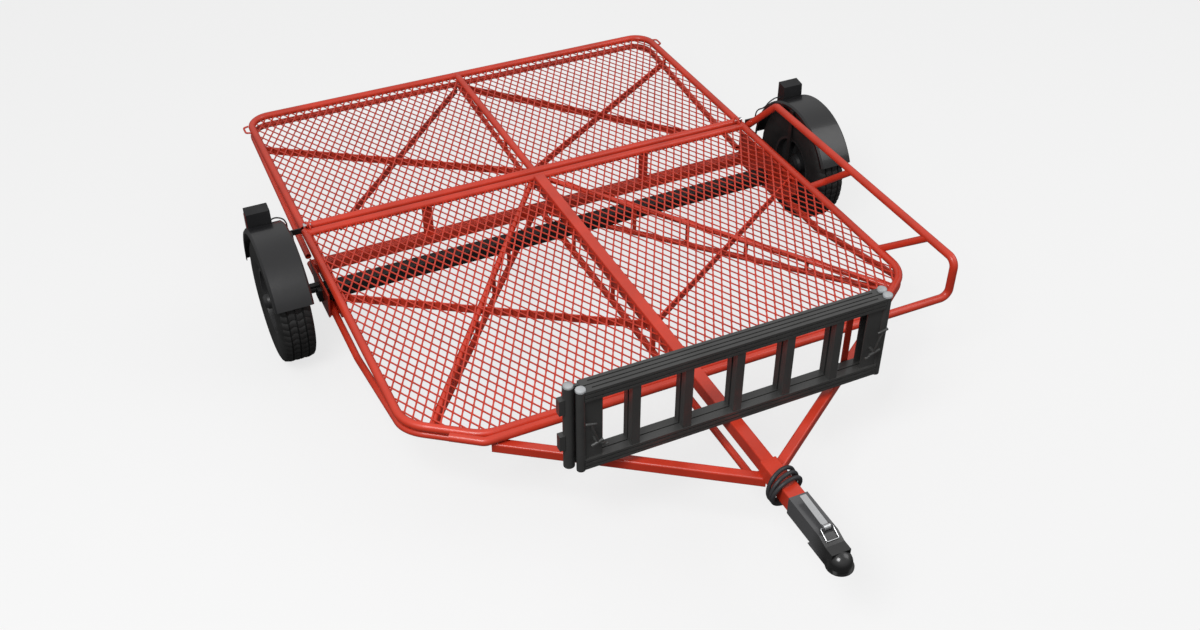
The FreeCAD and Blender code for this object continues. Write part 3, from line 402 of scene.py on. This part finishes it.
def expanded_panel(node, body):
    """Diamond lattice of slit strands: wide and high at the bonds, narrow and low between them."""
    outline = panel_outline(node)
    level = middle(node).z
    verts, faces = [], []
    anchor = Vector((0, FOLD_Y))
    step = Vector((SHORT_WAY / 2, LONG_WAY / 2)).length
    for family in (-1, 1):
        direction = Vector((family * SHORT_WAY / 2, LONG_WAY / 2)).normalized()
        across = Vector((direction.y, -direction.x))
        for number in range(-150, 151):
            start = anchor + Vector((number * SHORT_WAY, 0))
            found = clip_line(start, direction, outline)
            if not found:
                continue
            near, far = found
            first, last_mark = math.ceil(near / step * 2), math.floor(far / step * 2)
            marks = [near] + [m * step / 2 for m in range(first, last_mark + 1)] + [far]
            base = len(verts)
            for mark in marks:
                at_bond = abs(mark / step - round(mark / step)) < 0.05
                half_width = 0.0032 if at_bond else 0.0022
                tip = start + direction * mark
                lean = family * (0.0011 if at_bond else 0.0002)
                for side, height in ((-1, -0.0014), (1, -0.0014), (1, 0.0014), (-1, 0.0014)):
                    spot = tip + across * side * half_width
                    verts.append((spot.x, spot.y, level + height + lean * side))
            for i in range(len(marks) - 1):
                for k in range(4):
                    a = base + 4 * i + k
                    b = base + 4 * i + (k + 1) % 4
                    faces.append((a, b, b + 4, a + 4))
            last = base + 4 * (len(marks) - 1)
            faces.append((base + 3, base + 2, base + 1, base))
            faces.append((last, last + 1, last + 2, last + 3))
    piece = mesh_piece(node + "_strands", verts, faces, MATERIALS["red_mesh"], body, smooth=False)
    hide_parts(node)


for panel_side in SIDES:
    expanded_panel(f"{panel_side}_front_mesh", "chassis")
    expanded_panel(f"{panel_side}_rear_mesh", "rear_deck")

# ---------------------------------------------------------------- lock pin handles

HANDLE_Y = -1446


def round_bar(name, start, end, radius, material, body):
    """Closed round bar between two points."""
    turn = (end - start).to_track_quat("Z", "Y")
    sides = 16
    verts = []
    for centre, size in ((start, radius * 0.7), (start.lerp(end, 0.04), radius),
                         (start.lerp(end, 0.96), radius), (end, radius * 0.7)):
        for k in range(sides):
            angle = math.tau * k / sides
            verts.append(centre + turn @ Vector((size * math.cos(angle), size * math.sin(angle), 0)))
    faces = []
    for ring in range(0, 3 * sides, sides):
        for k in range(sides):
            after = (k + 1) % sides
            faces.append((ring + k, ring + after, ring + sides + after, ring + sides + k))
    faces.append(tuple(reversed(range(sides))))
    faces.append(tuple(range(3 * sides, 4 * sides)))
    return mesh_piece(name, verts, faces, material, body)


def lock_handle(side, sign):
    """Bent rod of a ramp lock: T grip above, short tail below."""
    y = HANDLE_Y
    runs = (("rod", (430, 120), (450, 188), 3.4), ("grip", (434, 185), (466, 193), 4.2),
            ("tail", (430, 118), (408, 104), 3.4), ("foot", (401, 106), (415, 102), 4.2))
    for part, (x0, z0), (x1, z1), radius in runs:
        start, end = deck(sign * x0, y, z0), deck(sign * x1, y, z1)
        piece = round_bar(f"{side}_lock_{part}", start, end, radius / 1000, MATERIALS["ramp_black"],
                          f"{side}_pin")


for pin_side, pin_sign in SIDES.items():
    lock_handle(pin_side, pin_sign)

# ---------------------------------------------------------------- tyres

def tyre_rows(width, radius):
    """Half-section of a trailer tyre from bead to bead: (x, radius, tread share)."""
    half = width / 2
    rows = [(-half * 0.80, 0.500, 0), (-half * 0.86, 0.545, 0), (-half * 0.93, 0.60, 0),
            (-half * 0.95, 0.615, 0), (-half * 0.965, 0.66, 0), (-half * 1.0, 0.74, 0),
            (-half * 1.0, 0.80, 0), (-half * 0.985, 0.86, 0), (-half * 0.955, 0.905, 0.4),
            (-half * 0.90, 0.945, 1), (-half * 0.82, 0.972, 1)]
    for groove in (-0.45, 0.0, 0.45):
        crown = 0.992 - 0.03 * groove * groove
        rows += [(half * (groove - 0.17), crown, 1), (half * (groove - 0.045), 0.995, 1),
                 (half * (groove - 0.035), 0.968, 0), (half * (groove + 0.035), 0.968, 0),
                 (half * (groove + 0.045), 0.995, 1), (half * (groove + 0.17), crown, 1)]
    rows += [(-x, r, t) for x, r, t in reversed(rows[:11])]
    return [(x, r * radius, t) for x, r, t in rows]


def tyre(side):
    """Tyre with circumferential grooves, siped ribs and a plain ribbed sidewall."""
    node = f"{side}_tyre"
    low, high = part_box(node)
    centre = middle(node)
    rows = tyre_rows(high[0] - low[0], (high[2] - low[2]) / 2)
    around = 216
    verts, faces = [], []
    for step in range(around):
        angle = math.tau * step / around
        sipe = 0.0026 if step % 4 == 0 else 0.0
        for x, radius, tread in rows:
            r = radius - sipe * tread
            skew = math.radians(1.2) * math.sin(18 * x / (high[0] - low[0])) * tread
            turn = angle + skew
            verts.append((centre.x + x, centre.y + r * math.cos(turn), centre.z + r * math.sin(turn)))
    count = len(rows)
    for step in range(around):
        here, there = step * count, (step + 1) % around * count
        for k in range(count - 1):
            faces.append((here + k, here + k + 1, there + k + 1, there + k))
        faces.append((here + count - 1, here, there, there + count - 1))
    piece = mesh_piece(node + "_tread", verts, faces, MATERIALS["tyre_rubber"], f"{side}_wheel")
    piece.data.set_sharp_from_angle(angle=math.radians(32))
    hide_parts(node)


for wheel_side in SIDES:
    tyre(wheel_side)

# ---------------------------------------------------------------- floor, light and world

def make_stage():
    mesh = bpy.data.meshes.new("floor")
    mesh.from_pydata([(-30, -30, -0.0005), (30, -30, -0.0005), (30, 30, -0.0005), (-30, 30, -0.0005)], [],
                     [(0, 1, 2, 3)])
    floor = link("floor", mesh)
    pale = new_material("floor_pale", (0.16, 0.16, 0.16), 0.9, specular=0.0)
    shader = pale.node_tree.nodes["Principled BSDF"]
    shader.inputs["Emission Color"].default_value = (1, 1, 1, 1)
    shader.inputs["Emission Strength"].default_value = 0.74
    mesh.materials.append(pale)
    floor.visible_diffuse = False
    floor.visible_glossy = False
    world = bpy.data.worlds.new("studio")
    world.use_nodes = True
    tree = world.node_tree
    sky = tree.nodes.new("ShaderNodeTexCoord")
    split = tree.nodes.new("ShaderNodeSeparateXYZ")
    spread = tree.nodes.new("ShaderNodeMapRange")
    spread.inputs["From Min"].default_value = -0.25
    spread.inputs["From Max"].default_value = 0.6
    spread.inputs["To Min"].default_value = 0.12
    spread.inputs["To Max"].default_value = 1.0
    tree.links.new(sky.outputs["Generated"], split.inputs["Vector"])
    tree.links.new(split.outputs["Z"], spread.inputs["Value"])
    backdrop = tree.nodes["Background"]
    tree.links.new(spread.outputs["Result"], backdrop.inputs["Color"])
    backdrop.inputs["Strength"].default_value = 0.62
    bpy.context.scene.world = world
    bpy.context.scene.view_settings.view_transform = "Standard"


def area_light(name, place, aim, size, power):
    data = bpy.data.lights.new(name, "AREA")
    data.size = size
    data.energy = power
    lamp = link(name, data)
    lamp.location = place
    lamp.rotation_euler = (Vector(aim) - Vector(place)).to_track_quat("-Z", "Y").to_euler()


make_stage()
area_light("key", (-2.6, -2.2, 4.2), (0, 0, 0.3), 2.0, 150)
area_light("fill", (3.2, -1.6, 3.4), (0, 0, 0.3), 3.0, 45)
